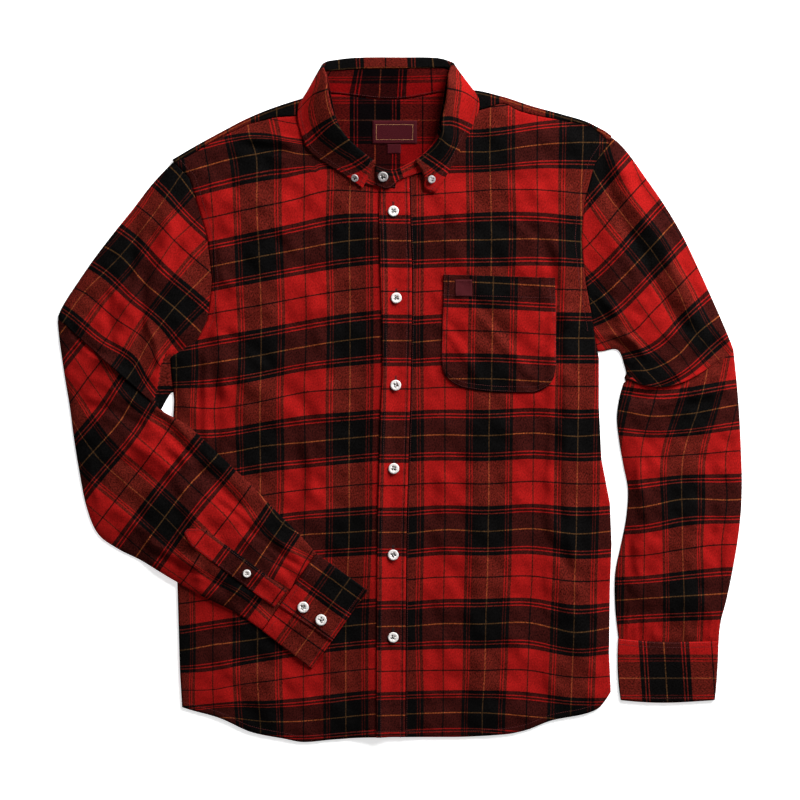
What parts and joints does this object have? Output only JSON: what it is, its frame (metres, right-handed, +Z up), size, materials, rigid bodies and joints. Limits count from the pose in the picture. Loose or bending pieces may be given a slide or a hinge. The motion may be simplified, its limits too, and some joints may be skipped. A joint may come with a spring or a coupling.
{
  "type": "flannel shirt",
  "caption": "Men's plaid flannel shirt laid flat, buttoned, with a button-down collar, a chest pocket and a sleeve folded over the front.",
  "frame": {"origin": "middle of the bounding box, at the level of the surface that the shirt lies on", "axes": "+Z up from the surface, out of the shirt's front; +Y towards the collar; +X towards the wearer's left side"},
  "size_m": [0.808, 0.808, 0.0145],
  "materials": {
    "flannel": "brushed cotton twill woven in a red and black tartan with thin orange lines",
    "label": "woven label, burgundy, bare",
    "button": "pearly white, polished, four holes"
  },
  "bodies": {
    "root": {"back": "flannel", "yoke": "flannel", "front_right": "flannel", "front_left": "flannel", "front_band": "flannel", "pocket": "flannel", "collar_stand": "flannel", "collar_leaf": "flannel", "sleeve_right": "flannel", "sleeve_left": "flannel", "sleeve_placket_right": "flannel", "cuff_right": "flannel", "cuff_left": "flannel", "pocket_patch": "label", "neck_label": "label", "size_tab": "label", "button_neck": "button", "button_front_1": "button", "button_front_2": "button", "button_front_3": "button", "button_front_4": "button", "button_front_5": "button", "button_front_6": "button", "button_collar_right": "button", "button_collar_left": "button", "button_cuff_1": "button", "button_cuff_2": "button", "button_sleeve_placket": "button"}
  },
  "joints": []
}
